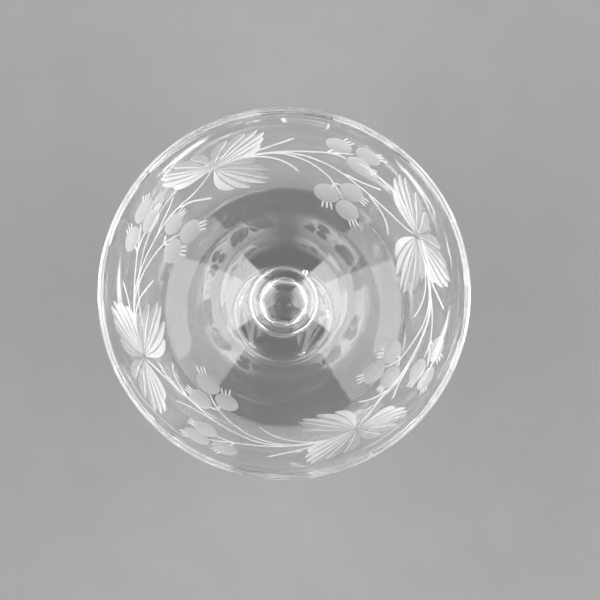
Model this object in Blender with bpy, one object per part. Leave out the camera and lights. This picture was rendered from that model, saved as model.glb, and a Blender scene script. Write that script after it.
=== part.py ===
"""Stemmed crystal glass in four pieces joined hot: foot, six-sided cut stem, button knop and bowl.

Metres, +Z up. The origin is on the axis, in the plane that the foot stands on.
"""
import math

import bmesh
import bpy
from mathutils import Vector
from mathutils.geometry import interpolate_bezier

MM = 0.001

# Driving dimensions of the whole glass
HEIGHT = 95.0 * MM
RIM_RADIUS = 47.5 * MM
FOOT_RADIUS = 32.0 * MM
JOINT_GAP = 0.3 * MM  # left between two pieces where the real glass is fused

# Heights of the planes where one piece ends and the next begins
FOOT_SEAT_Z = 5.2 * MM
KNOP_BOTTOM_Z = 40.3 * MM
BOWL_BOTTOM_Z = 45.0 * MM

# Bowl
LIP_RADIUS = 0.9 * MM  # half the wall at the rim, which is fully rounded
WALL_SLOPE_AT_LIP = math.radians(72.0)
BOWL_FLOOR_Z = 48.1 * MM
BOWL_BASE_RADIUS = 9.6 * MM
OUTSIDE_BASE_HANDLE = Vector((26.0, 0.0, 46.5)) * MM
INSIDE_BASE_HANDLE = Vector((27.0, 0.0, 48.1)) * MM
LIP_HANDLE = 20.0 * MM

# Button knop, a cushion between stem and bowl
KNOP_RADIUS = 10.45 * MM
KNOP_BOTTOM_RADIUS = 7.4 * MM

# Stem: a round blank with six concave flats cut along it, standing on a thin round pad
FLATS = 6
PAD_RADIUS = 15.5 * MM
PAD_EDGE = 1.4 * MM
FLARE_CORNER_RADIUS = 14.4 * MM
WAIST_CORNER_RADIUS = 4.9 * MM
SHOULDER_CORNER_RADIUS = 6.2 * MM
WAIST_Z = 22.5 * MM
SHOULDER_Z = 36.5 * MM
BLANK_SHOULDER_RADIUS = 6.9 * MM
CORNER_TURN = math.radians(-9.0)  # direction of one corner of the six-sided section
FLARE_HANDLE = Vector((7.2, 0.0, 7.2)) * MM
WAIST_BELOW = Vector((0.0, 0.0, 12.0)) * MM
WAIST_ABOVE = Vector((0.0, 0.0, 7.0)) * MM
SHOULDER_RISE = Vector((0.2, 0.0, 3.5)) * MM
RUN_OUT = Vector((3.0, 0.0, 0.3)) * MM

# Foot
FOOT_EDGE_RADIUS = 1.1 * MM
LAND_INNER_RADIUS = 24.0 * MM
UNDERSIDE_HOLLOW = 1.2 * MM
DOME_FALL = Vector((5.0, 0.0, -1.4)) * MM  # how the top leaves the seat
DOME_BRIM = Vector((6.0, 0.0, -0.3)) * MM  # and how it meets the brim

ROUND_STEPS = 60
KNOP_STEPS = 48
STEPS_PER_FLAT = 6


def clear_scene():
    for old in list(bpy.data.objects):
        bpy.data.objects.remove(old)


def glass(name, colour, roughness):
    material = bpy.data.materials.new(name)
    material.use_nodes = True
    shader = material.node_tree.nodes["Principled BSDF"]
    shader.inputs["Base Color"].default_value = (*colour, 1.0)
    shader.inputs["Roughness"].default_value = roughness
    shader.inputs["Metallic"].default_value = 0.0
    shader.inputs["IOR"].default_value = 1.54
    shader.inputs["Transmission Weight"].default_value = 1.0
    return material


def point(radius, z):
    return Vector((radius, 0.0, z))


def curve(start, start_handle, end_handle, end, pieces):
    """Points of one Bezier stretch, its start left out so that stretches can be chained."""
    return interpolate_bezier(start, start_handle, end_handle, end, pieces + 1)[1:]


def arc(centre, radius, first, last, pieces):
    """Points on an arc in the X-Z plane, its first point left out. Angles run from +X towards +Z."""
    angles = [first + (last - first) * i / pieces for i in range(1, pieces + 1)]
    return [centre + Vector((radius * math.cos(a), 0.0, radius * math.sin(a))) for a in angles]


def finish(mesh_data, name, material, sharp_angle):
    """Store the bmesh as one object, shaded smooth except across real edges."""
    bmesh.ops.recalc_face_normals(mesh_data, faces=mesh_data.faces)
    mesh = bpy.data.meshes.new(name)
    mesh_data.to_mesh(mesh)
    mesh_data.free()
    mesh.shade_smooth()
    mesh.set_sharp_from_angle(angle=sharp_angle)
    mesh.materials.append(material)
    piece = bpy.data.objects.new(name, mesh)
    bpy.context.scene.collection.objects.link(piece)
    return piece


def turned(name, outline, steps, material, sharp_angle=math.radians(35.0)):
    """A closed solid of revolution from an outline that starts and ends on the axis."""
    work = bmesh.new()
    verts = [work.verts.new(p) for p in outline]
    edges = [work.edges.new(pair) for pair in zip(verts, verts[1:])]
    bmesh.ops.spin(work, geom=verts + edges, cent=(0, 0, 0), axis=(0, 0, 1),
                   angle=math.tau, steps=steps, use_merge=True)
    bmesh.ops.remove_doubles(work, verts=work.verts, dist=0.001 * MM)
    return finish(work, name, material, sharp_angle)


def make_foot(material):
    edge_centre = point(FOOT_RADIUS - FOOT_EDGE_RADIUS, FOOT_EDGE_RADIUS)
    seat_edge = point(PAD_RADIUS, FOOT_SEAT_Z)
    brim = edge_centre + Vector((0.0, 0.0, FOOT_EDGE_RADIUS))
    land_inner = point(LAND_INNER_RADIUS, 0.0)
    crown = point(0.0, UNDERSIDE_HOLLOW)
    under_crown = point(LAND_INNER_RADIUS / 2, UNDERSIDE_HOLLOW)
    outline = [point(0.0, FOOT_SEAT_Z), seat_edge]
    outline += curve(seat_edge, seat_edge + DOME_FALL, brim - DOME_BRIM, brim, 6)
    outline += arc(edge_centre, FOOT_EDGE_RADIUS, math.pi / 2, -math.pi / 2, 6)
    outline += [land_inner]
    outline += curve(land_inner, land_inner * 0.8 + crown * 0.5, under_crown, crown, 4)
    return turned("foot", outline, ROUND_STEPS, material)


def make_knop(material):
    bottom = point(KNOP_BOTTOM_RADIUS, KNOP_BOTTOM_Z)
    top = point(BOWL_BASE_RADIUS, BOWL_BOTTOM_Z - JOINT_GAP)
    belly = point(KNOP_RADIUS, (bottom.z + top.z) / 2)
    rise = Vector((0.0, 0.0, (top.z - bottom.z) * 0.25))
    outline = [point(0.0, top.z), top]
    outline += curve(top, top + Vector((0.5 * MM, 0.0, -0.2 * MM)), belly + rise, belly, 4)
    outline += curve(belly, belly - rise, bottom + Vector((2.9 * MM, 0.0, 0.1 * MM)), bottom, 4)
    outline += [point(0.0, bottom.z)]
    return turned("button_knop", outline, KNOP_STEPS, material)


def make_bowl(material):
    up_the_wall = Vector((math.cos(WALL_SLOPE_AT_LIP), 0.0, math.sin(WALL_SLOPE_AT_LIP)))
    outward = Vector((up_the_wall.z, 0.0, -up_the_wall.x))
    lip_centre = point(RIM_RADIUS - LIP_RADIUS, HEIGHT - LIP_RADIUS)
    inside_top = lip_centre - outward * LIP_RADIUS
    outside_top = lip_centre + outward * LIP_RADIUS
    floor = point(0.0, BOWL_FLOOR_Z)
    base_edge = point(BOWL_BASE_RADIUS, BOWL_BOTTOM_Z)
    lean = math.pi / 2 - WALL_SLOPE_AT_LIP
    outline = [floor]
    outline += curve(floor, INSIDE_BASE_HANDLE, inside_top - up_the_wall * LIP_HANDLE, inside_top, 12)
    outline += arc(lip_centre, LIP_RADIUS, math.pi - lean, math.pi / 2, 3)
    outline += arc(lip_centre, LIP_RADIUS, math.pi / 2, 0.0, 3)
    outline += [outside_top]
    outline += curve(outside_top, outside_top - up_the_wall * LIP_HANDLE, OUTSIDE_BASE_HANDLE, base_edge, 12)
    outline += [point(0.0, BOWL_BOTTOM_Z)]
    return turned("bowl", outline, ROUND_STEPS, material)


def stem_stations():
    """Height, flat distance and blank radius at each ring of the stem, from the pad up."""
    to_flat = math.cos(math.pi / FLATS)
    bottom_z = FOOT_SEAT_Z + JOINT_GAP
    top_z = KNOP_BOTTOM_Z - JOINT_GAP
    pad_top = bottom_z + PAD_EDGE
    flare = point(FLARE_CORNER_RADIUS * to_flat, pad_top + 0.2 * MM)
    waist = point(WAIST_CORNER_RADIUS * to_flat, WAIST_Z)
    shoulder = point(SHOULDER_CORNER_RADIUS * to_flat, SHOULDER_Z)
    run_out = point(KNOP_RADIUS, top_z)
    stations = [(bottom_z, PAD_RADIUS, PAD_RADIUS), (pad_top, PAD_RADIUS, PAD_RADIUS), (flare.z, flare.x, PAD_RADIUS)]
    flats = curve(flare, FLARE_HANDLE, waist - WAIST_BELOW, waist, 9)
    flats += curve(waist, waist + WAIST_ABOVE, shoulder - SHOULDER_RISE, shoulder, 5)
    stations += [(p.z, p.x, PAD_RADIUS) for p in flats]
    rise = top_z - SHOULDER_Z
    for p in curve(shoulder, shoulder + SHOULDER_RISE / 2, run_out - RUN_OUT, run_out, 7):
        swell = ((p.z - SHOULDER_Z) / rise) ** 2
        blank = BLANK_SHOULDER_RADIUS + (KNOP_BOTTOM_RADIUS - BLANK_SHOULDER_RADIUS) * swell
        stations.append((p.z, p.x, blank))
    return stations


def make_stem(material):
    """Each ring is the blank's circle where a flat doesn't reach it, and the flat where it does."""
    around = FLATS * STEPS_PER_FLAT
    work = bmesh.new()
    rings = []
    for z, flat, blank in stem_stations():
        ring = []
        for step in range(around):
            from_flat_middle = math.tau / FLATS * (step % STEPS_PER_FLAT / STEPS_PER_FLAT - 0.5)
            radius = min(blank, flat / math.cos(from_flat_middle))
            angle = CORNER_TURN + math.tau * step / around
            ring.append(work.verts.new((radius * math.cos(angle), radius * math.sin(angle), z)))
        rings.append(ring)
    for lower, upper in zip(rings, rings[1:]):
        for a in range(around):
            b = (a + 1) % around
            work.faces.new((lower[a], lower[b], upper[b], upper[a]))
    work.faces.new(reversed(rings[0]))
    work.faces.new(rings[-1])
    bmesh.ops.triangulate(work, faces=[f for f in work.faces if len(f.verts) > 4])
    return finish(work, "stem", material, math.radians(25.0))


def main():
    clear_scene()
    make_foot(glass("foot crystal", (0.95, 0.97, 0.97), 0.03))
    make_stem(glass("stem crystal", (0.96, 0.97, 0.97), 0.02))
    make_knop(glass("knop crystal", (0.96, 0.97, 0.97), 0.02))
    make_bowl(glass("bowl crystal", (0.96, 0.98, 0.98), 0.02))


main()
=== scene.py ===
"""Looks of the engraved crystal glass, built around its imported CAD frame.

Four pieces are made here, one for each CAD solid: foot, stem, button knop and bowl. The real ones are
fused, so each pair meets on one plane, where an invisible face closes both meshes. The bowl's engraving is
cut into its outer surface as geometry.
"""

import math
import random

import bmesh
import bpy
import numpy as np
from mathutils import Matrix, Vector
from mathutils.geometry import delaunay_2d_cdt, interpolate_bezier
from mathutils.kdtree import KDTree


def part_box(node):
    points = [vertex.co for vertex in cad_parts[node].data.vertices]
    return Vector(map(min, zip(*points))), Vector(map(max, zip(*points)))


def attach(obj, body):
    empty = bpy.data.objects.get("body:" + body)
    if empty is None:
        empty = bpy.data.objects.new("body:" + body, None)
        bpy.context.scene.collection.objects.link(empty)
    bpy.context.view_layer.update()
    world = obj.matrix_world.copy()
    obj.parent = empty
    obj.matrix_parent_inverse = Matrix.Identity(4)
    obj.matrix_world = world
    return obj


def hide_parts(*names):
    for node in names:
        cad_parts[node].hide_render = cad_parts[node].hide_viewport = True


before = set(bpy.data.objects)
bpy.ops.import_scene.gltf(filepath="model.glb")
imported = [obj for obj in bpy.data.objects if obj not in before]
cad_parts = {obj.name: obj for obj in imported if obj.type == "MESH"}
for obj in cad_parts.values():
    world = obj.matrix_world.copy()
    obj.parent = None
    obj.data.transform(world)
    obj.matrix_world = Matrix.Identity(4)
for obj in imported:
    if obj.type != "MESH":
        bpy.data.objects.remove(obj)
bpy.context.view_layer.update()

MM = 0.001
AROUND = 240  # steps round every turned surface
FLATS = 6
rng = random.Random(7)


# ---------------------------------------------------------------- sizes, read from the frame

def node_box(name):
    """A node's lowest and highest corners."""
    low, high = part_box(name)
    return Vector(low), Vector(high)


foot_high = node_box("foot")[1]
stem_low, stem_high = node_box("stem")
knop_low, knop_high = node_box("button_knop")
bowl_low, bowl_high = node_box("bowl")

HEIGHT = bowl_high.z
RIM_RADIUS = bowl_high.x
FOOT_RADIUS = foot_high.x
KNOP_RADIUS = knop_high.x
PAD_RADIUS = stem_high.x
FOOT_JOINT_Z = (foot_high.z + stem_low.z) / 2
STEM_JOINT_Z = (stem_high.z + knop_low.z) / 2
BOWL_JOINT_Z = (knop_high.z + bowl_low.z) / 2

# The rest repeats the design's own dimensions. A handle is a control point of a Bezier stretch
LIP_RADIUS = 0.9 * MM
WALL_SLOPE_AT_LIP = math.radians(72.0)
LIP_HANDLE = 20.0 * MM
BOWL_BASE_RADIUS = 9.6 * MM
BOWL_FLOOR_Z = 48.1 * MM
OUTSIDE_BASE_HANDLE = Vector((26.0, 46.5)) * MM
INSIDE_BASE_HANDLE = Vector((27.0, 48.1)) * MM
KNOP_BOTTOM_RADIUS = 7.4 * MM
KNOP_TOP_HANDLE = Vector((0.5, -0.2)) * MM
KNOP_BOTTOM_HANDLE = Vector((2.9, 0.1)) * MM
PAD_EDGE = 1.4 * MM
PAD_ROUND = 1.25 * MM
FLARE_RISE = 0.2 * MM  # from the pad's top to where the flare's curve starts
FLARE_ROOT_RISE = 0.02 * MM  # an extra ring below that, a little further out
FLARE_ROOT_STEP = 0.5 * MM
FLARE_CORNER_RADIUS = 14.4 * MM
WAIST_CORNER_RADIUS = 4.9 * MM
SHOULDER_CORNER_RADIUS = 6.2 * MM
WAIST_Z = 22.5 * MM
SHOULDER_Z = 36.5 * MM
BLANK_SHOULDER_RADIUS = 6.9 * MM
CORNER_TURN = math.radians(-9.0)
CORNER_ROUND = 0.12 * MM  # how far the polish has taken a sharp corner back
CORNER_REACH = 0.25 * MM
FLARE_HANDLE = Vector((7.2, 7.2)) * MM
WAIST_BELOW = Vector((0.0, 12.0)) * MM
WAIST_ABOVE = Vector((0.0, 7.0)) * MM
SHOULDER_RISE = Vector((0.2, 3.5)) * MM
RUN_OUT = Vector((3.0, 0.3)) * MM
FOOT_EDGE_RADIUS = 1.1 * MM
LAND_INNER_RADIUS = 24.0 * MM
LAND_HANDLES = Vector((29.0, 0.0)) * MM, Vector((26.0, 0.0)) * MM
UNDERSIDE_HOLLOW = 1.2 * MM
DOME_FALL = Vector((5.0, -1.4)) * MM
DOME_BRIM = Vector((6.0, -0.9)) * MM
TOOL_MARK = 0.035 * MM  # height of the ripples on the foot, which fade out near its brim
TOOL_MARK_PITCH = 3.0 * MM, 9.0 * MM
TOOL_MARK_FADE = 4.0 * MM


# ---------------------------------------------------------------- materials

CRYSTAL_IOR = 1.54


def new_material(name):
    """A material with its nodes, its links and its shader."""
    material = bpy.data.materials.new(name)
    material.use_nodes = True
    tree = material.node_tree
    return material, tree.nodes, tree.links, tree.nodes["Principled BSDF"]


def crystal(name, streak_scale, streak_strength, wear):
    """Clear polished glass. Faint cords and tool streaks are bump, handling wear is a little roughness."""
    material, nodes, links, shader = new_material(name)
    shader.inputs["Base Color"].default_value = (0.985, 0.992, 0.99, 1.0)
    shader.inputs["Transmission Weight"].default_value = 1.0
    shader.inputs["IOR"].default_value = CRYSTAL_IOR
    place = nodes.new("ShaderNodeTexCoord")
    stretch = nodes.new("ShaderNodeMapping")
    stretch.inputs["Scale"].default_value = streak_scale
    links.new(place.outputs["Object"], stretch.inputs["Vector"])
    streaks = nodes.new("ShaderNodeTexNoise")
    streaks.inputs["Scale"].default_value = 1.0
    streaks.inputs["Detail"].default_value = 2.0
    links.new(stretch.outputs["Vector"], streaks.inputs["Vector"])
    bump = nodes.new("ShaderNodeBump")
    bump.inputs["Strength"].default_value = streak_strength
    bump.inputs["Distance"].default_value = 0.05 * MM
    links.new(streaks.outputs["Fac"], bump.inputs["Height"])
    links.new(bump.outputs["Normal"], shader.inputs["Normal"])
    scuffs = nodes.new("ShaderNodeTexNoise")
    scuffs.inputs["Scale"].default_value = 900.0
    scuffs.inputs["Detail"].default_value = 4.0
    links.new(place.outputs["Object"], scuffs.inputs["Vector"])
    level = nodes.new("ShaderNodeMapRange")
    level.inputs["From Min"].default_value = 0.45
    level.inputs["From Max"].default_value = 0.8
    level.inputs["To Min"].default_value = 0.0
    level.inputs["To Max"].default_value = wear
    links.new(scuffs.outputs["Fac"], level.inputs["Value"])
    links.new(level.outputs["Result"], shader.inputs["Roughness"])
    return material


def wheel_cut(name, see_through, dark, light):
    """The grey, sandy surface that an unpolished stone wheel leaves in glass. Where it is made dark for one
    face of each leaf blade, that darkness is painted shade.
    """
    material, nodes, links, shader = new_material(name)
    shader.inputs["Transmission Weight"].default_value = see_through
    shader.inputs["IOR"].default_value = CRYSTAL_IOR
    place = nodes.new("ShaderNodeTexCoord")
    grain = nodes.new("ShaderNodeTexNoise")
    grain.inputs["Scale"].default_value = 5000.0
    grain.inputs["Detail"].default_value = 3.0
    links.new(place.outputs["Object"], grain.inputs["Vector"])
    tone = nodes.new("ShaderNodeValToRGB")
    tone.color_ramp.elements[0].position = 0.3
    tone.color_ramp.elements[0].color = (dark, dark * 1.01, dark * 1.015, 1.0)
    tone.color_ramp.elements[1].position = 0.7
    tone.color_ramp.elements[1].color = (light, light, light, 1.0)
    links.new(grain.outputs["Fac"], tone.inputs["Fac"])
    links.new(tone.outputs["Color"], shader.inputs["Base Color"])
    rough = nodes.new("ShaderNodeMapRange")
    rough.inputs["To Min"].default_value = 0.38
    rough.inputs["To Max"].default_value = 0.62
    links.new(grain.outputs["Fac"], rough.inputs["Value"])
    links.new(rough.outputs["Result"], shader.inputs["Roughness"])
    bump = nodes.new("ShaderNodeBump")
    bump.inputs["Strength"].default_value = 0.35
    bump.inputs["Distance"].default_value = 0.03 * MM
    links.new(grain.outputs["Fac"], bump.inputs["Height"])
    links.new(bump.outputs["Normal"], shader.inputs["Normal"])
    return material


def fused_joint(name):
    """The plane inside the glass where two gathers were joined hot. Nothing of it is seen."""
    material, _, _, shader = new_material(name)
    shader.inputs["Alpha"].default_value = 0.0
    return material


def floor_material():
    material, nodes, links, shader = new_material("pale floor")
    grain = nodes.new("ShaderNodeTexNoise")
    grain.inputs["Scale"].default_value = 60.0
    place = nodes.new("ShaderNodeTexCoord")
    links.new(place.outputs["Object"], grain.inputs["Vector"])
    tone = nodes.new("ShaderNodeValToRGB")
    tone.color_ramp.elements[0].color = (0.145, 0.1465, 0.148, 1.0)
    tone.color_ramp.elements[1].color = (0.158, 0.1595, 0.161, 1.0)
    links.new(grain.outputs["Fac"], tone.inputs["Fac"])
    links.new(tone.outputs["Color"], shader.inputs["Base Color"])
    shader.inputs["Roughness"].default_value = 0.9
    shader.inputs["Specular IOR Level"].default_value = 0.1
    return material


# ---------------------------------------------------------------- outlines, as (radius, height) arrays

def bezier(start, start_handle, end_handle, end, pieces):
    """Points along one Bezier stretch, both ends included."""
    points = interpolate_bezier(start, start_handle, end_handle, end, pieces + 1)
    return np.array([p[:2] for p in points])


def arc(centre, radius, first, last, pieces):
    angles = np.linspace(first, last, pieces + 1)
    return np.column_stack((centre[0] + radius * np.cos(angles), centre[1] + radius * np.sin(angles)))


def chain(*stretches):
    """One outline from stretches that share their end points."""
    return np.vstack([stretches[0]] + [s[1:] for s in stretches[1:]])


def normals_of(outline):
    """Unit normals of an outline, on its left-hand side."""
    run = np.gradient(outline, axis=0)
    run /= np.linalg.norm(run, axis=1)[:, None]
    return np.column_stack((-run[:, 1], run[:, 0]))


def bowl_outlines():
    """The outside from the base to the lip, and from there over the lip and down the inside to the axis."""
    up_wall = Vector((math.cos(WALL_SLOPE_AT_LIP), math.sin(WALL_SLOPE_AT_LIP)))
    outward = Vector((up_wall.y, -up_wall.x))
    lip_centre = Vector((RIM_RADIUS - LIP_RADIUS, HEIGHT - LIP_RADIUS))
    inside_top = lip_centre - outward * LIP_RADIUS
    outside_top = lip_centre + outward * LIP_RADIUS
    lean = math.pi / 2 - WALL_SLOPE_AT_LIP
    outside = bezier(Vector((BOWL_BASE_RADIUS, bowl_low.z)), OUTSIDE_BASE_HANDLE,
                     outside_top - up_wall * LIP_HANDLE, outside_top, 600)
    lip = arc(lip_centre, LIP_RADIUS, -lean, math.pi - lean, 16)
    inside = bezier(inside_top, inside_top - up_wall * LIP_HANDLE, INSIDE_BASE_HANDLE,
                    Vector((0.0, BOWL_FLOOR_Z)), 70)
    return outside, lip, inside


# ---------------------------------------------------------------- meshes

def add_piece(name, node, verts, faces, materials, face_materials=None):
    mesh = bpy.data.meshes.new(name)
    mesh.from_pydata([tuple(v) for v in verts], [], faces)
    for material in materials:
        mesh.materials.append(material)
    if face_materials is not None:
        mesh.polygons.foreach_set("material_index", face_materials)
    mesh.shade_smooth()
    mesh.validate()
    piece = bpy.data.objects.new(name, mesh)
    bpy.context.scene.collection.objects.link(piece)
    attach(piece, "root")
    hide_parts(node)
    return piece


def ring_points(radii, z, angles):
    return np.column_stack((radii * np.cos(angles), radii * np.sin(angles), np.broadcast_to(z, angles.shape)))


def quads_between(lower, upper, count):
    """Faces that look outwards, between two rings of vertices that start at these indices."""
    return [(lower + a, lower + (a + 1) % count, upper + (a + 1) % count, upper + a) for a in range(count)]


def fan(ring, centre, count, facing_up):
    """Triangles from a ring of vertices to its centre."""
    return [(ring + a, ring + (a + 1) % count, centre)[::1 if facing_up else -1] for a in range(count)]


def turned(name, node, outline, materials, joints=(), wave=None):
    """A closed solid of revolution. The outline starts at the top on the axis and ends at the bottom on it.

    joints are the rows of faces that lie inside the glass. wave moves a vertex up or down.
    """
    angles = np.arange(AROUND) * math.tau / AROUND
    verts = [(0.0, 0.0, outline[0][1])]
    for r, z in outline[1:-1]:
        ring = ring_points(np.full(AROUND, r), z, angles)
        if wave is not None:
            ring[:, 2] += wave(r, z, angles)
        verts.extend(ring)
    verts.append((0.0, 0.0, outline[-1][1]))
    faces = fan(1, 0, AROUND, facing_up=True)
    inner = [0 in joints] * AROUND
    rows = len(outline) - 2
    for row in range(rows - 1):
        faces += quads_between(1 + (row + 1) * AROUND, 1 + row * AROUND, AROUND)
        inner += [row + 1 in joints] * AROUND
    faces += fan(1 + (rows - 1) * AROUND, len(verts) - 1, AROUND, facing_up=False)
    inner += [rows in joints] * AROUND
    return add_piece(name, node, verts, faces, materials, [int(i) for i in inner])


def ripple(amount, steps, seed):
    """A slow, slightly uneven wave over a turned surface, as hand tools leave it."""
    picks = random.Random(seed)
    waves = [(picks.uniform(0.4, 1.0), picks.uniform(*steps), picks.uniform(0, math.tau), picks.randint(0, 3),
              picks.uniform(0, math.tau)) for _ in range(6)]

    def wave(r, angles):
        total = np.zeros(len(angles))
        for size, pitch, phase, turns, lead in waves:
            total += size * np.sin(r * math.tau / pitch + phase + 0.6 * np.sin(turns * angles + lead))
        return amount * total / len(waves)
    return wave


def make_foot(clear, fused):
    edge_centre = Vector((FOOT_RADIUS - FOOT_EDGE_RADIUS, FOOT_EDGE_RADIUS))
    seat_edge = Vector((PAD_RADIUS, FOOT_JOINT_Z))
    brim = edge_centre + Vector((0.0, FOOT_EDGE_RADIUS))
    land_inner = Vector((LAND_INNER_RADIUS, 0.0))
    crown = Vector((0.0, UNDERSIDE_HOLLOW))
    under_crown = Vector((LAND_INNER_RADIUS / 2, UNDERSIDE_HOLLOW))
    dome = bezier(seat_edge, seat_edge + DOME_FALL, brim - DOME_BRIM, brim, 44)
    edge = arc(edge_centre, FOOT_EDGE_RADIUS, math.pi / 2, -math.pi / 2, 14)
    land = bezier(Vector(edge[-1]), *LAND_HANDLES, land_inner, 6)
    hollow = bezier(land_inner, land_inner * 0.8 + crown * 0.5, under_crown, crown, 40)
    centre = np.array([(0.0, FOOT_JOINT_Z)])
    outline = chain(centre, np.array([centre[0], seat_edge]), dome, edge, land, hollow)
    tool_marks = ripple(TOOL_MARK, TOOL_MARK_PITCH, 3)

    def wave(r, z, angles):
        """None on the seat, the edge and the land, so that the joint stays flat and the foot stands level."""
        if z <= FOOT_EDGE_RADIUS or abs(z - FOOT_JOINT_Z) < 1e-9:
            return 0.0
        inset = min(1.0, max(0.0, (FOOT_RADIUS - r) / TOOL_MARK_FADE))
        return inset * tool_marks(r, angles)
    return turned("foot_glass", "foot", outline, [clear, fused], joints=(0,), wave=wave)


def make_knop(clear, fused):
    bottom = Vector((KNOP_BOTTOM_RADIUS, STEM_JOINT_Z))
    top = Vector((BOWL_BASE_RADIUS, BOWL_JOINT_Z))
    belly = Vector((KNOP_RADIUS, (bottom.y + top.y) / 2))
    rise = Vector((0.0, (top.y - bottom.y) * 0.25))
    upper = bezier(top, top + KNOP_TOP_HANDLE, belly + rise, belly, 12)
    lower = bezier(belly, belly - rise, bottom + KNOP_BOTTOM_HANDLE, bottom, 16)
    centre = np.array([(0.0, BOWL_JOINT_Z)])
    outline = chain(centre, np.array([centre[0], top]), upper, lower, np.array([bottom, (0.0, STEM_JOINT_Z)]))
    return turned("knop_glass", "button_knop", outline, [clear, fused], joints=(0, len(outline) - 2))


def stem_stations():
    """Height, flat distance and blank radius at each ring of the stem, from the pad up."""
    to_flat = math.cos(math.pi / FLATS)
    pad_top = stem_low.z + PAD_EDGE
    flare = Vector((FLARE_CORNER_RADIUS * to_flat, pad_top + FLARE_RISE))
    waist = Vector((WAIST_CORNER_RADIUS * to_flat, WAIST_Z))
    shoulder = Vector((SHOULDER_CORNER_RADIUS * to_flat, SHOULDER_Z))
    run_out = Vector((KNOP_RADIUS, stem_high.z))
    pad_edge = arc((PAD_RADIUS - PAD_ROUND, pad_top - PAD_ROUND), PAD_ROUND, 0.0, math.pi / 2, 10)
    stations = [(FOOT_JOINT_Z, PAD_RADIUS, PAD_RADIUS)]
    stations += [(z, r, r) for r, z in pad_edge]
    stations += [(pad_top + FLARE_ROOT_RISE, flare.x + FLARE_ROOT_STEP, PAD_RADIUS)]
    lower = bezier(flare, FLARE_HANDLE, waist - WAIST_BELOW, waist, 60)
    upper = bezier(waist, waist + WAIST_ABOVE, shoulder - SHOULDER_RISE, shoulder, 26)
    stations += [(z, r, PAD_RADIUS) for r, z in chain(lower, upper)]
    rise = stem_high.z - SHOULDER_Z
    for r, z in bezier(shoulder, shoulder + SHOULDER_RISE / 2, run_out - RUN_OUT, run_out, 30)[1:]:
        swell = ((z - SHOULDER_Z) / rise) ** 2
        stations.append((z, r, BLANK_SHOULDER_RADIUS + (KNOP_BOTTOM_RADIUS - BLANK_SHOULDER_RADIUS) * swell))
    stations.append((STEM_JOINT_Z, KNOP_RADIUS, KNOP_BOTTOM_RADIUS))
    return stations


def make_stem(clear, fused):
    """Each ring is the blank's circle where a flat doesn't reach it, and the flat where it does."""
    per_flat = AROUND // FLATS
    half = math.pi / FLATS
    along = np.linspace(-1.0, 1.0, per_flat, endpoint=False)
    from_middle = half * np.sin(along * math.pi / 2)  # closer together at the corners
    local = np.tile(from_middle, FLATS)
    angles = CORNER_TURN + half + local + np.repeat(np.arange(FLATS) * 2 * half, per_flat)
    verts = []
    for z, flat, blank in stem_stations():
        cut = flat / np.cos(local)
        ease = CORNER_ROUND * np.exp(-((half - np.abs(local)) * flat / CORNER_REACH) ** 2)
        verts.extend(ring_points(np.minimum(blank, cut - ease), z, angles))
    rows = len(verts) // AROUND
    verts += [(0.0, 0.0, FOOT_JOINT_Z), (0.0, 0.0, STEM_JOINT_Z)]
    faces = []
    for row in range(rows - 1):
        faces += quads_between(row * AROUND, (row + 1) * AROUND, AROUND)
    sides = len(faces)
    faces += fan(0, rows * AROUND, AROUND, facing_up=False)
    faces += fan((rows - 1) * AROUND, rows * AROUND + 1, AROUND, facing_up=True)
    inner = [0] * sides + [1] * (2 * AROUND)
    return add_piece("stem_glass", "stem", verts, faces, [clear, fused], inner)


# ---------------------------------------------------------------- engraving

# PAINTED_SHADE_CUT is painted shade: one face of each leaf blade, made darker grey than the white cut
POLISHED, WHITE_CUT, JOINT, BERRY_CUT, PAINTED_SHADE_CUT = range(5)  # the order of the bowl's materials
LEAF_RADIUS = 39.8 * MM  # distance of a leaf's middle from the axis
FIRST_LEAF = 26.5  # degrees round the bowl
# Each repeat was placed by eye: how far its leaf, its lower berries and its upper berries have slipped,
# in degrees round the bowl and in mm from the axis
SLIPS = [
    ((-1.7, -0.9), (2.4, -0.8), (0.4, -0.4)),
    ((2.6, -0.65), (1.5, 0.85), (0.2, 0.0)),
    ((-2.8, 0.7), (-4.9, 0.3), (-0.7, 0.55)),
    ((2.5, 0.35), (-1.6, 0.65), (0.7, 0.0)),
]
SLIP_ANCHORS = [(0.0, 39.8), (33.0, 32.8), (36.0, 42.4), (90.0, 39.8)]  # their places, and the next leaf's
SLIP_SOFTNESS = 4.0  # in square millimetres, it keeps the blend even close to an anchor
MM_PER_DEGREE = 0.65  # round the bowl, roughly where the motif is
LEAF_SLACK, BERRY_SLACK, VINE_SLACK = 0.35, 0.4, 0.15  # a hand's small errors, in degrees
SLACK_IN_MM = 0.4  # for one degree of slack, the error in mm from the axis
BLADE_DEPTH = 0.42 * MM
BLADE_WIDTH = 2.9 * MM
BLADE_LEAN = 0.6  # of the outermost blades: the wide face is on the side that bellies out
BLADE_BOW = 0.06  # how far the middle of an outermost blade is off its straight line, by its length
BLADE_START = 0.04  # of the way from the leaf's middle to the tip
BLADE_WIDTH_RANGE = 0.92, 1.08
BERRY_DEPTH = 0.5 * MM
VINE_DEPTH = 0.16 * MM
VINE_WIDTH = 0.62 * MM
VINE_WIDTH_RANGE = 0.9, 1.15
BERRY_RADIUS = 3.5 * MM
BERRY_SIZE_RANGE = 0.95, 1.04
BERRY_STRETCH_RANGE = 1.0, 1.06
CROWN_WIDTH = 0.62 * MM
CROWN_DEPTH = 1.2 * VINE_DEPTH
CROWN_ROOT = 0.8  # from the berry's centre. This and the next two are in berry radii
CROWN_SPREAD = 0.27
CROWN_LENGTH_RANGE = 0.7, 0.85
CROWN_SPLAY = 0.12  # how far the two outer marks lean apart, as a slope
SEED_RADIUS = 0.85 * MM
SEED_CENTRE = np.array((5.95, 8.1, 46.4)) * MM  # an air bubble in the thick glass under the bowl

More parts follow.
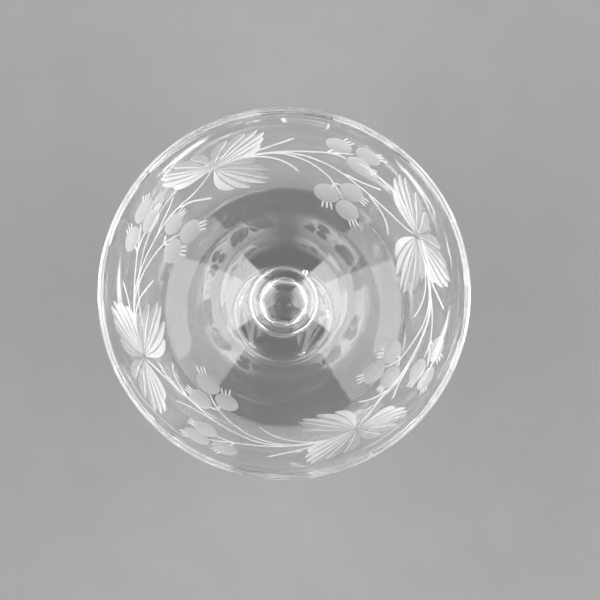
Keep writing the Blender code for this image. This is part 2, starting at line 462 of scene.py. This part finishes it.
# The engraved mesh
CREASE = math.radians(24.0)
STROKE_END = 0.02  # the share of its width and depth that a stroke keeps at its ends
UNCUT = 0.004 * MM  # a cut shallower than this doesn't hide another's edge
PLAIN_PITCH = 1.25 * MM  # between the rings of points on the polished wall
PLAIN_STEP = 1.3  # along a ring, in pitches
LAST_RING_GAP = 0.6  # the least between the last ring and the lip, in pitches
OLIVE_COARSENESS = 1.3  # the points in a round hollow are this much further apart

# The same, in the flat plane's millimetres
CUT_SPACING = 0.28  # between points along a cut
PLAIN_CLEARANCE = 0.35  # of a polished point from a cut's edge
CUT_CLEARANCE = 0.11
CUT_CELL = 0.14
EDGE_CLEARANCE = 0.05  # of a point inside a trench from the trench's edge
SAME_POINT = 1e-5


class Wall:
    """The bowl's outside, and the same surface laid out flat round the axis.

    The flat plane keeps each angle round the bowl. Its radius grows by the same ratio as the wall's own
    surface, so a small shape keeps its form, and one unit is 1 mm at the height of the leaves.
    """

    def __init__(self, outline):
        self.r, self.z = outline.T
        steps = np.hypot(*np.diff(outline, axis=0).T)
        growth = np.concatenate(([0.0], np.cumsum(2 * steps / (self.r[1:] + self.r[:-1]))))
        flat = np.exp(growth)
        self.flat = flat / np.interp(LEAF_RADIUS, self.r, flat) * LEAF_RADIUS / MM
        self.out = -normals_of(outline)

    def lay_out(self, degrees, mm_from_axis):
        flat = np.interp(np.asarray(mm_from_axis) * MM, self.r, self.flat)
        angle = np.radians(degrees)
        return np.column_stack((flat * np.cos(angle), flat * np.sin(angle)))

    def scale(self, points):
        """Flat units for one metre of wall."""
        flat = np.hypot(*points.T)
        return flat / np.interp(flat, self.flat, self.r)

    def normals(self, points):
        flat = np.hypot(*points.T)
        radial = np.interp(flat, self.flat, self.out[:, 0])
        upright = np.interp(flat, self.flat, self.out[:, 1])
        normal = np.column_stack((radial * points[:, 0] / flat, radial * points[:, 1] / flat, upright))
        return normal / np.linalg.norm(normal, axis=1)[:, None]

    def raise_up(self, points, depth):
        """Points of the flat plane, on the wall and sunk into it by depth."""
        flat = np.hypot(*points.T)
        r = np.interp(flat, self.flat, self.r)
        z = np.interp(flat, self.flat, self.z)
        surface = np.column_stack((r * points[:, 0] / flat, r * points[:, 1] / flat, z))
        return surface - self.normals(points) * np.asarray(depth)[:, None]


def even_line(controls, spacing):
    """A smooth line through the control points, as points at an even spacing."""
    controls = np.asarray(controls, float)
    padded = np.vstack((2 * controls[0] - controls[1], controls, 2 * controls[-1] - controls[-2]))
    t = np.linspace(0.0, 1.0, 24)[:, None]
    runs = []
    for a, b, c, d in zip(padded, padded[1:], padded[2:], padded[3:]):
        runs.append(0.5 * (2 * b + (c - a) * t + (2 * a - 5 * b + 4 * c - d) * t ** 2
                           + (3 * b - a - 3 * c + d) * t ** 3)[:-1])
    dense = np.vstack(runs + [controls[-1:]])
    along = np.concatenate(([0.0], np.cumsum(np.hypot(*np.diff(dense, axis=0).T))))
    count = max(6, int(round(along[-1] / spacing)) + 1)
    even = np.linspace(0.0, along[-1], count)
    return np.column_stack([np.interp(even, along, dense[:, i]) for i in (0, 1)])


class Stroke:
    """A V-shaped trench along its deepest line.

    lean is from -1 to 1: at 0 both faces are as wide, above 0 the left one is wider and shallower. The face
    on painted_shade_side (1 left, -1 right, 0 neither) is painted darker grey as shade.
    """

    def __init__(self, wall, controls, width, depth, taper, lean=0.0, painted_shade_side=0):
        self.line = even_line(controls, CUT_SPACING)
        size = np.maximum(taper(np.linspace(0.0, 1.0, len(self.line))), STROKE_END)
        half = size * width / 2 * wall.scale(self.line)
        self.left = half * (1 + lean)
        self.right = half * (1 - lean)
        self.depth = size * depth
        self.painted_shade_side = painted_shade_side
        run = np.gradient(self.line, axis=0)
        run /= np.hypot(*run.T)[:, None]
        self.side = np.column_stack((-run[:, 1], run[:, 0]))

    def row(self, share):
        return self.line + self.side * ((self.left if share > 0 else self.right) * share)[:, None]

    def outline(self):
        return np.vstack((self.line[:1], self.row(1.0)[1:-1], self.line[-1:], self.row(-1.0)[-2:0:-1]))

    def ridge(self):
        return self.line, self.depth

    def samples(self):
        rows = [self.line[1:-1]]
        for sign, half in ((1, self.left), (-1, self.right)):
            count = int(half.max() / CUT_SPACING)
            for i in range(1, count + 1):
                share = i / (count + 1)
                rows.append(self.row(sign * share)[half * (1 - share) > EDGE_CLEARANCE])
        return np.vstack(rows)

    def nearest(self, points):
        """How far off the line each point is, whether it is on the left, and where along the line."""
        start = self.line[:-1]
        run = np.diff(self.line, axis=0)
        offset = points[:, None] - start
        t = np.clip((offset * run).sum(2) / (run ** 2).sum(1), 0.0, 1.0)
        gap = offset - t[..., None] * run
        distance = np.linalg.norm(gap, axis=2)
        nearest = distance.argmin(1)
        rows = np.arange(len(points))
        on_left = (run[nearest, 0] * gap[rows, nearest, 1] - run[nearest, 1] * gap[rows, nearest, 0]) > 0
        return distance[rows, nearest], on_left, nearest + t[rows, nearest]

    def depth_at(self, points):
        distance, on_left, along = self.nearest(points)
        places = np.arange(len(self.line))
        half = np.where(on_left, np.interp(along, places, self.left), np.interp(along, places, self.right))
        return np.maximum(0.0, np.interp(along, places, self.depth) * (1.0 - distance / half))

    def finish_and_painted_shade_at(self, points):
        # The face on the painted shade side is painted darker grey as shade, the other keeps the white cut
        return np.where(np.where(self.nearest(points)[1], 1, -1) == self.painted_shade_side, PAINTED_SHADE_CUT, WHITE_CUT)


class Olive:
    """A round hollow, as the edge of a thick rounded wheel leaves it."""

    def __init__(self, wall, centre, radius, depth, stretch=1.0, turn=0.0):
        self.centre = np.asarray(centre)
        self.radius = radius * wall.scale(self.centre[None])[0]
        self.depth = depth
        self.stretch = stretch
        self.turn = turn

    def ring(self, share, count):
        a = np.arange(count) * math.tau / count
        x, y = share * self.radius * self.stretch * np.cos(a), share * self.radius * np.sin(a)
        c, s = math.cos(self.turn), math.sin(self.turn)
        return self.centre + np.column_stack((c * x - s * y, s * x + c * y))

    def outline(self):
        return self.ring(1.0, int(math.tau * self.radius / CUT_SPACING))

    def ridge(self):
        """It has no sharp line at its bottom."""
        return np.empty((0, 2)), np.empty(0)

    def finish_and_painted_shade_at(self, points):
        return BERRY_CUT

    def samples(self):
        rings = int(self.radius / CUT_SPACING / OLIVE_COARSENESS)
        rows = []
        for i in range(1, rings):
            round_the_ring = math.tau * self.radius * i / rings
            rows.append(self.ring(i / rings, max(6, int(round_the_ring / CUT_SPACING / OLIVE_COARSENESS))))
        return np.vstack(rows + [self.centre[None]])

    def depth_at(self, points):
        c, s = math.cos(self.turn), math.sin(self.turn)
        x, y = ((points - self.centre) @ np.array([[c, -s], [s, c]])).T / self.radius
        return self.depth * np.maximum(0.0, 1.0 - (x / self.stretch) ** 2 - y ** 2)


def boat(t):
    """A blade's width along its length: a slim start, the belly past the middle, a blunt point."""
    return np.sin(math.pi * t ** 1.7) ** 0.65


def thread(t):
    """A vine's width: even, running out at both ends."""
    return np.minimum(1.0, np.minimum(t / 0.06, (1.0 - t) / 0.12)) ** 0.6


def tick(t):
    """The width of a crown's short mark, blunt at both ends."""
    return np.sin(math.pi * np.clip(t * 0.9 + 0.05, 0, 1)) ** 0.5


# A motif's places are pairs: degrees from its leaf's middle, and millimetres from the axis
LEAF_LOBES = [  # the side that the rim is on, looking out from the middle (1 left, -1 right), and the tips
    (1, [(-8.4, 44.2), (-15.3, 44.6), (-19.9, 44.9), (-21.6, 44.3), (-21.5, 43.1), (-19.9, 41.5)]),
    (-1, [(5.7, 44.4), (12.9, 45.1), (17.9, 45.1), (19.3, 44.6), (19.9, 43.6), (17.4, 41.7)]),
    (1, [(-17.6, 38.0), (-21.7, 35.6), (-22.3, 33.6), (-20.6, 32.8), (-13.4, 32.6), (-4.9, 33.6)]),
]
BERRIES = [  # place and the direction of the crown, in degrees from the way round the bowl
    ((32.3, 43.5), 140), ((43.0, 42.9), 122), ((33.5, 40.7), 172),
    ((28.5, 35.2), 184), ((26.0, 31.0), 218), ((39.0, 32.1), 252),
]
VINES = [
    [(0.3, 39.8), (5, 38.6), (10, 37.8), (15, 37.2), (21, 36.9), (28, 37.0),
     (36, 37.5), (46, 38.2), (55, 39.0), (66, 39.5), (82, 39.8)],
    [(36.5, 42.5), (40, 41.7), (46, 40.7), (54, 39.9), (64, 39.6), (75, 39.7)],
    [(44.4, 41.7), (46.2, 40.8)],
    [(38.6, 40.7), (42, 40.8), (46, 40.6)],
    [(30.2, 32.4), (33.7, 33.6), (37.4, 34.7), (41.2, 35.6), (45.6, 36.5), (53, 37.9),
     (63, 39.1), (74, 39.6)],
    [(34.0, 35.3), (35.8, 35.1), (38.0, 34.8)],
    [(37.4, 33.7), (37.9, 34.7)],
    [(20.2, 39.5), (25, 38.4), (30, 37.9), (37, 37.7)],
    [(6.5, 34.2), (11, 35.3), (16, 36.1), (23, 36.8)],
    [(58.5, 42.6), (63, 41.5), (69, 40.6), (76, 40.1), (82, 39.9)],
    [(55, 35.1), (60, 36.7), (66, 38.2), (73, 39.2), (80, 39.7)],
]


def placing(wall, turn, slips):
    """The function that finds a motif's places on the laid-out wall, with their slips and small errors."""
    def slipped(degrees, mm):
        """Blended between the anchors by distance, so that each vine still meets what hangs on it."""
        gaps = [((degrees - a) * MM_PER_DEGREE) ** 2 + (mm - b) ** 2 for a, b in SLIP_ANCHORS]
        shares = np.array([1.0 / (gap + SLIP_SOFTNESS) ** 2 for gap in gaps])
        return np.array((degrees, mm)) + (shares[:, None] * slips).sum(0) / shares.sum()

    def place(pair, slack=0.0):
        degrees, mm = slipped(*pair)
        degrees += rng.uniform(-slack, slack)
        mm += rng.uniform(-slack, slack) * SLACK_IN_MM
        return wall.lay_out(turn + degrees, mm)[0]
    return place


def leaf(wall, place):
    """Three fans of blades that share one middle."""
    blades = []
    middle = place((0.0, LEAF_RADIUS / MM))
    for rim_side, tips in LEAF_LOBES:
        for tip, belly in zip(tips, np.linspace(rim_side, -rim_side, len(tips))):
            end = place(tip, LEAF_SLACK)
            run = end - middle
            start = middle + run * BLADE_START
            knee = (start + end) / 2 + np.array((-run[1], run[0])) * belly * BLADE_BOW
            width = BLADE_WIDTH * rng.uniform(*BLADE_WIDTH_RANGE)
            lean = belly * BLADE_LEAN
            # Each blade's face on the rim side is painted darker grey as shade
            blades.append(Stroke(wall, [start, knee, end], width, BLADE_DEPTH, boat, lean, rim_side))
    return blades


def berry(wall, centre, round_way, crown):
    """A round hollow and the three short marks of its crown."""
    radius = BERRY_RADIUS * rng.uniform(*BERRY_SIZE_RANGE)
    olive = Olive(wall, centre, radius, BERRY_DEPTH, rng.uniform(*BERRY_STRETCH_RANGE), round_way)
    aim = round_way - math.radians(crown)
    ahead = np.array((math.cos(aim), math.sin(aim)))
    across = np.array((-ahead[1], ahead[0]))
    cuts = [olive]
    for side in (-1, 0, 1):
        root = centre + across * side * CROWN_SPREAD * olive.radius + ahead * olive.radius * CROWN_ROOT
        tip = root + (ahead + across * side * CROWN_SPLAY) * olive.radius * rng.uniform(*CROWN_LENGTH_RANGE)
        cuts.append(Stroke(wall, [root, (root + tip) / 2, tip], CROWN_WIDTH, CROWN_DEPTH, tick))
    return cuts


def motif(wall, turn, slips):
    """One leaf, its six berries and the vines that lead on to the next leaf."""
    place = placing(wall, turn, slips)
    cuts = leaf(wall, place)
    for spot, crown in BERRIES:
        cuts += berry(wall, place(spot, BERRY_SLACK), math.radians(turn + spot[0] + 90.0), crown)
    for vine in VINES:
        points = [place(pair, VINE_SLACK) for pair in vine]
        cuts.append(Stroke(wall, points, VINE_WIDTH * rng.uniform(*VINE_WIDTH_RANGE), VINE_DEPTH, thread))
    return cuts


def engraving(wall):
    """Every cut, one repeat after another round the bowl."""
    cuts = []
    for repeat, slips in enumerate(SLIPS):
        next_leaf = SLIPS[(repeat + 1) % len(SLIPS)][0]
        cuts += motif(wall, FIRST_LEAF + repeat * 360.0 / len(SLIPS), np.array(slips + (next_leaf,)))
    return cuts


def deepest_cut(cuts, points, owner=None):
    """How deep the deepest cut is at each point, and that cut's number, or -1 where there is none.

    owner is the number of a cut to leave out.
    """
    deepest = np.zeros(len(points))
    which = np.full(len(points), -1)
    for number, cut in enumerate(cuts):
        if number == owner:
            continue
        edge = cut.outline()
        rows = np.flatnonzero(np.all((points >= edge.min(0)) & (points <= edge.max(0)), axis=1))
        if len(rows):
            depth = cut.depth_at(points[rows])
            deeper = depth > deepest[rows]
            deepest[rows[deeper]] = depth[deeper]
            which[rows[deeper]] = number
    return deepest, which


def away_from(points, others, gap):
    """Which points keep a gap to all the others."""
    tree = KDTree(len(others))
    for i, (x, y) in enumerate(others):
        tree.insert((x, y, 0.0), i)
    tree.balance()
    return np.array([tree.find((x, y, 0.0))[2] > gap for x, y in points])


def thinned(points, gap):
    """One point for each cell of a fine grid."""
    _, first = np.unique(np.floor(points / gap).astype(int), axis=0, return_index=True)
    return points[np.sort(first)]


def cut_lines(cuts):
    """Each cut's outline and ridge: the points, which of them another cut hides, and whether it closes."""
    lines = []
    for number, cut in enumerate(cuts):
        edge = cut.outline()
        lines.append((edge, deepest_cut(cuts, edge, number)[0] > UNCUT, True))
        ridge, depth = cut.ridge()
        if len(ridge):
            lines.append((ridge, deepest_cut(cuts, ridge, number)[0] > depth, False))
    return lines


def plain_rings(wall):
    """Rings of points over the whole laid-out wall, between the base's ring and the lip's."""
    rings = []
    flat = wall.flat[0]
    while True:
        pitch = PLAIN_PITCH * wall.scale(np.array([[flat, 0.0]]))[0]
        flat += pitch
        if flat > wall.flat[-1] - LAST_RING_GAP * pitch:
            return np.vstack(rings)
        steps = int(round(math.tau * flat / (PLAIN_STEP * pitch)))
        turn = (np.arange(steps) + 0.5 * (len(rings) % 2)) * math.tau / steps
        rings.append(flat * np.column_stack((np.cos(turn), np.sin(turn))))


def engraved_surface(wall, cuts):
    """Triangles over the whole laid-out wall that follow every cut's outline and ridge.

    Gives the points, the triangles, and the indices of the rings of points at the base and at the lip.
    """
    angles = np.arange(AROUND) * math.tau / AROUND
    circle = np.column_stack((np.cos(angles), np.sin(angles)))
    edges = [(a, (a + 1) % AROUND) for a in range(AROUND)]
    edges += [(AROUND + a, AROUND + (a + 1) % AROUND) for a in range(AROUND)]
    lines = cut_lines(cuts)
    count = 2 * AROUND
    for line, hidden, closed in lines:
        for a in range(len(line) if closed else len(line) - 1):
            b = (a + 1) % len(line)
            if not (hidden[a] and hidden[b]):
                edges.append((count + a, count + b))
        count += len(line)
    line_points = np.vstack([line for line, _, _ in lines])
    shown = ~np.concatenate([hidden for _, hidden, _ in lines])
    plain = plain_rings(wall)
    plain = plain[deepest_cut(cuts, plain)[1] < 0]
    plain = plain[away_from(plain, line_points, PLAIN_CLEARANCE)]
    inside = thinned(np.vstack([cut.samples() for cut in cuts]), CUT_CELL)
    inside = inside[away_from(inside, line_points[shown], CUT_CLEARANCE)]
    points = np.vstack((circle * wall.flat[0], circle * wall.flat[-1], line_points, plain, inside))
    found = delaunay_2d_cdt([Vector(p) for p in points], edges, [], 0, SAME_POINT, True)
    verts = np.array([tuple(v) for v in found[0]])
    index_of = {source: i for i, sources in enumerate(found[3]) for source in sources}
    triangles = np.array(found[2])
    middles = verts[triangles].mean(axis=1)
    triangles = triangles[np.hypot(*middles.T) > wall.flat[0] * math.cos(math.pi / AROUND)]
    base_ring = [index_of[a] for a in range(AROUND)]
    lip_ring = [index_of[AROUND + a] for a in range(AROUND)]
    return verts, triangles, base_ring, lip_ring


def face_kinds(cuts, middles):
    """The kind of each face of the engraved surface, from the flat place of its middle."""
    number_at = deepest_cut(cuts, middles)[1]
    kinds = np.full(len(middles), POLISHED)
    for number, cut in enumerate(cuts):
        rows = np.flatnonzero(number_at == number)
        if len(rows):
            kinds[rows] = cut.finish_and_painted_shade_at(middles[rows])
    return kinds.tolist()


def make_bowl(materials):
    """The engraved outside, the lip and the inside as one closed mesh, with the air bubble in its base."""
    outside, lip, inside = bowl_outlines()
    wall = Wall(outside)
    cuts = engraving(wall)
    flat_points, triangles, base_ring, lip_ring = engraved_surface(wall, cuts)
    kinds = face_kinds(cuts, flat_points[triangles].mean(axis=1))
    verts = [wall.raise_up(flat_points, deepest_cut(cuts, flat_points)[0])]
    smooth = [wall.normals(flat_points)]
    faces = [tuple(t[::-1]) for t in triangles.tolist()]

    over = chain(lip, inside)
    over_normals = -normals_of(over)
    angles = np.arange(AROUND) * math.tau / AROUND
    rows = [lip_ring]
    total = len(flat_points)
    for (r, z), (nr, nz) in zip(over[1:-1], over_normals[1:-1]):
        verts.append(ring_points(np.full(AROUND, r), z, angles))
        smooth.append(ring_points(np.full(AROUND, nr), nz, angles))
        rows.append(list(range(total, total + AROUND)))
        total += AROUND
    verts.append(np.array([(0.0, 0.0, BOWL_FLOOR_Z), (0.0, 0.0, BOWL_JOINT_Z)]))
    smooth.append(np.array([(0.0, 0.0, 1.0), (0.0, 0.0, -1.0)]))
    for lower, upper in zip(rows, rows[1:]):
        faces += [(lower[a - 1], lower[a], upper[a], upper[a - 1]) for a in range(AROUND)]
    faces += [(rows[-1][a - 1], rows[-1][a], total) for a in range(AROUND)]
    kinds += [POLISHED] * (len(faces) - len(kinds))
    faces += [(base_ring[a], base_ring[a - 1], total + 1) for a in range(AROUND)]
    kinds += [JOINT] * AROUND
    seed_verts, seed_faces = seed()
    faces += [tuple(total + 2 + i for i in face) for face in seed_faces]
    kinds += [POLISHED] * len(seed_faces)
    verts.append(seed_verts)
    smooth.append((SEED_CENTRE - seed_verts) / SEED_RADIUS)
    bowl = add_piece("bowl_glass", "bowl", np.vstack(verts).tolist(), faces,
                     materials, kinds)
    shade_bowl(bowl.data, np.vstack(smooth))
    return bowl


def seed():
    """A small round air bubble shut in the glass where bowl and knop meet. Its faces point into it."""
    work = bmesh.new()
    bmesh.ops.create_uvsphere(work, u_segments=32, v_segments=20, radius=SEED_RADIUS)
    points = np.array([v.co for v in work.verts]) + SEED_CENTRE
    faces = [[v.index for v in reversed(face.verts)] for face in work.faces]
    work.free()
    return points, faces


def shade_bowl(mesh, smooth):
    """The polished wall keeps its true curve's normals, and the cuts stay crisp at their edges and ridges."""
    work = bmesh.new()
    work.from_mesh(mesh)
    for edge in work.edges:
        kinds = {face.material_index for face in edge.link_faces}
        if len(kinds) > 1 or edge.calc_face_angle(0.0) > CREASE:
            edge.smooth = False
    work.to_mesh(mesh)
    work.free()
    corners = len(mesh.loops)
    normals = np.empty(corners * 3)
    mesh.corner_normals.foreach_get("vector", normals)
    normals = normals.reshape(-1, 3)
    kind = np.empty(len(mesh.polygons), int)
    mesh.polygons.foreach_get("material_index", kind)
    sizes = np.empty(len(mesh.polygons), int)
    mesh.polygons.foreach_get("loop_total", sizes)
    vertex = np.empty(corners, int)
    mesh.loops.foreach_get("vertex_index", vertex)
    polished = np.repeat(kind, sizes) == POLISHED
    normals[polished] = smooth[vertex[polished]]
    mesh.normals_split_custom_set(normals.tolist())


# ---------------------------------------------------------------- the set

FLOOR_RADIUS = 4.0
FLOOR_DROP = 0.03 * MM  # so that the floor and the foot's land don't share a plane

# Heights are sines of the elevation, widths are cosines from a soft box's middle. Each pair is a soft edge
BOX_AZIMUTHS = (math.radians(-6.5), math.radians(183.5))
BOX_SIDES = (0.75, 0.78)
BOX_TOP = (0.984, 0.997)
BOX_LEVEL = 4.6
BAND_BOTTOM = (0.15, 0.34)
BAND_TOP = (0.32, 0.75)
BAND_ENDS = (0.12, 0.55)
BAND_LEVEL = 6.0
BAND_GAP_LEVEL = 0.12
HORIZON_LEVEL = 0.53
OVERHEAD_LEVEL = 0.1

CAMERA_LEAN = math.radians(2.7)
CAMERA_SIDEWAYS = -0.0083  # of the distance
CAMERA_DISTANCE = 0.7
CAMERA_AIM = Vector((4.0 * MM, -1.8 * MM, HEIGHT))
CAMERA_LENS = 165.3


def make_floor():
    mesh = bpy.data.meshes.new("studio_floor")
    work = bmesh.new()
    bmesh.ops.create_circle(work, cap_ends=True, segments=96, radius=FLOOR_RADIUS)
    work.to_mesh(mesh)
    work.free()
    mesh.materials.append(floor_material())
    floor = bpy.data.objects.new("studio_floor", mesh)
    floor.location.z = -FLOOR_DROP
    bpy.context.scene.collection.objects.link(floor)


def make_world():
    """The studio as light from all round: pale at table height, a bright band above that, dark overhead.

    The band is open to the front and back, and two soft boxes, left and right, reach up out of it.
    """
    world = bpy.data.worlds.new("studio")
    world.use_nodes = True
    nodes, links = world.node_tree.nodes, world.node_tree.links

    def calculate(operation, first, second):
        node = nodes.new("ShaderNodeMath")
        node.operation = operation
        for socket, value in zip(node.inputs, (first, second)):
            if isinstance(value, float):
                socket.default_value = value
            else:
                links.new(value, socket)
        return node.outputs[0]

    def vector(operation, first, second=None):
        node = nodes.new("ShaderNodeVectorMath")
        node.operation = operation
        links.new(first, node.inputs[0])
        if second is not None:
            node.inputs[1].default_value = second
        return node.outputs["Value" if operation == "DOT_PRODUCT" else "Vector"]

    def step(value, low, high):
        """0 below low and 1 above high."""
        node = nodes.new("ShaderNodeMapRange")
        node.interpolation_type = "SMOOTHSTEP"
        links.new(value, node.inputs["Value"])
        node.inputs["From Min"].default_value = low
        node.inputs["From Max"].default_value = high
        return node.outputs["Result"]

    direction = nodes.new("ShaderNodeTexCoord").outputs["Generated"]
    height = vector("DOT_PRODUCT", direction, (0.0, 0.0, 1.0))
    level = vector("NORMALIZE", vector("MULTIPLY", direction, (1.0, 1.0, 0.0)))
    towards = [vector("DOT_PRODUCT", level, (math.cos(a), math.sin(a), 0.0)) for a in BOX_AZIMUTHS]
    towards_box = calculate("MAXIMUM", *towards)
    above_horizon = step(height, *BAND_BOTTOM)
    band = calculate("MULTIPLY", above_horizon, calculate("SUBTRACT", 1.0, step(height, *BAND_TOP)))
    band = calculate("MULTIPLY", band, calculate("ADD", BAND_GAP_LEVEL, step(towards_box, *BAND_ENDS)))
    boxes = calculate("MULTIPLY", above_horizon, step(towards_box, *BOX_SIDES))
    boxes = calculate("MULTIPLY", boxes, calculate("SUBTRACT", 1.0, step(height, *BOX_TOP)))
    band = calculate("MULTIPLY", band, BAND_LEVEL)
    light = calculate("MAXIMUM", band, calculate("MULTIPLY", boxes, BOX_LEVEL))
    pale = calculate("MULTIPLY", calculate("SUBTRACT", 1.0, above_horizon), HORIZON_LEVEL - OVERHEAD_LEVEL)
    total = calculate("ADD", calculate("ADD", light, pale), OVERHEAD_LEVEL)
    links.new(total, nodes["Background"].inputs["Strength"])
    nodes["Background"].inputs["Color"].default_value = (1.0, 0.99, 0.975, 1.0)
    bpy.context.scene.world = world


def make_camera():
    """Almost straight above the mouth, leaning a little towards the viewer, with +Y up in the picture."""
    away = Vector((CAMERA_SIDEWAYS, -math.sin(CAMERA_LEAN), math.cos(CAMERA_LEAN)))
    data = bpy.data.cameras.new("camera")
    data.sensor_width = 36.0
    data.lens = CAMERA_LENS
    data.clip_start = 0.01
    data.clip_end = 20.0
    camera = bpy.data.objects.new("camera", data)
    camera.location = CAMERA_AIM + away * CAMERA_DISTANCE
    camera.rotation_euler = (CAMERA_LEAN, math.atan(CAMERA_SIDEWAYS), 0.0)
    bpy.context.scene.collection.objects.link(camera)
    bpy.context.scene.camera = camera


def main():
    clear = crystal("clear crystal", streak_scale=(60.0, 60.0, 220.0), streak_strength=0.10, wear=0.05)
    foot_crystal = crystal("foot crystal", streak_scale=(120.0, 120.0, 40.0), streak_strength=0.16, wear=0.08)
    white_cut = wheel_cut("white wheel cut", see_through=0.05, dark=0.90, light=0.98)
    berry_cut = wheel_cut("berry wheel cut", see_through=0.12, dark=0.58, light=0.68)
    # A darker grey as painted shade on one face of each leaf blade, and a little more see-through
    painted_shade_cut = wheel_cut("painted shade wheel cut", see_through=0.15, dark=0.46, light=0.55)
    fused = fused_joint("fused joint")
    make_foot(foot_crystal, fused)
    make_stem(clear, fused)
    make_knop(clear, fused)
    make_bowl([clear, white_cut, fused, berry_cut, painted_shade_cut])
    make_floor()
    make_world()
    make_camera()
    bpy.context.scene.view_settings.view_transform = "Standard"
    cycles = bpy.context.scene.cycles
    cycles.max_bounces = 24
    cycles.transmission_bounces = 24
    cycles.glossy_bounces = 12
    cycles.transparent_max_bounces = 32


main()
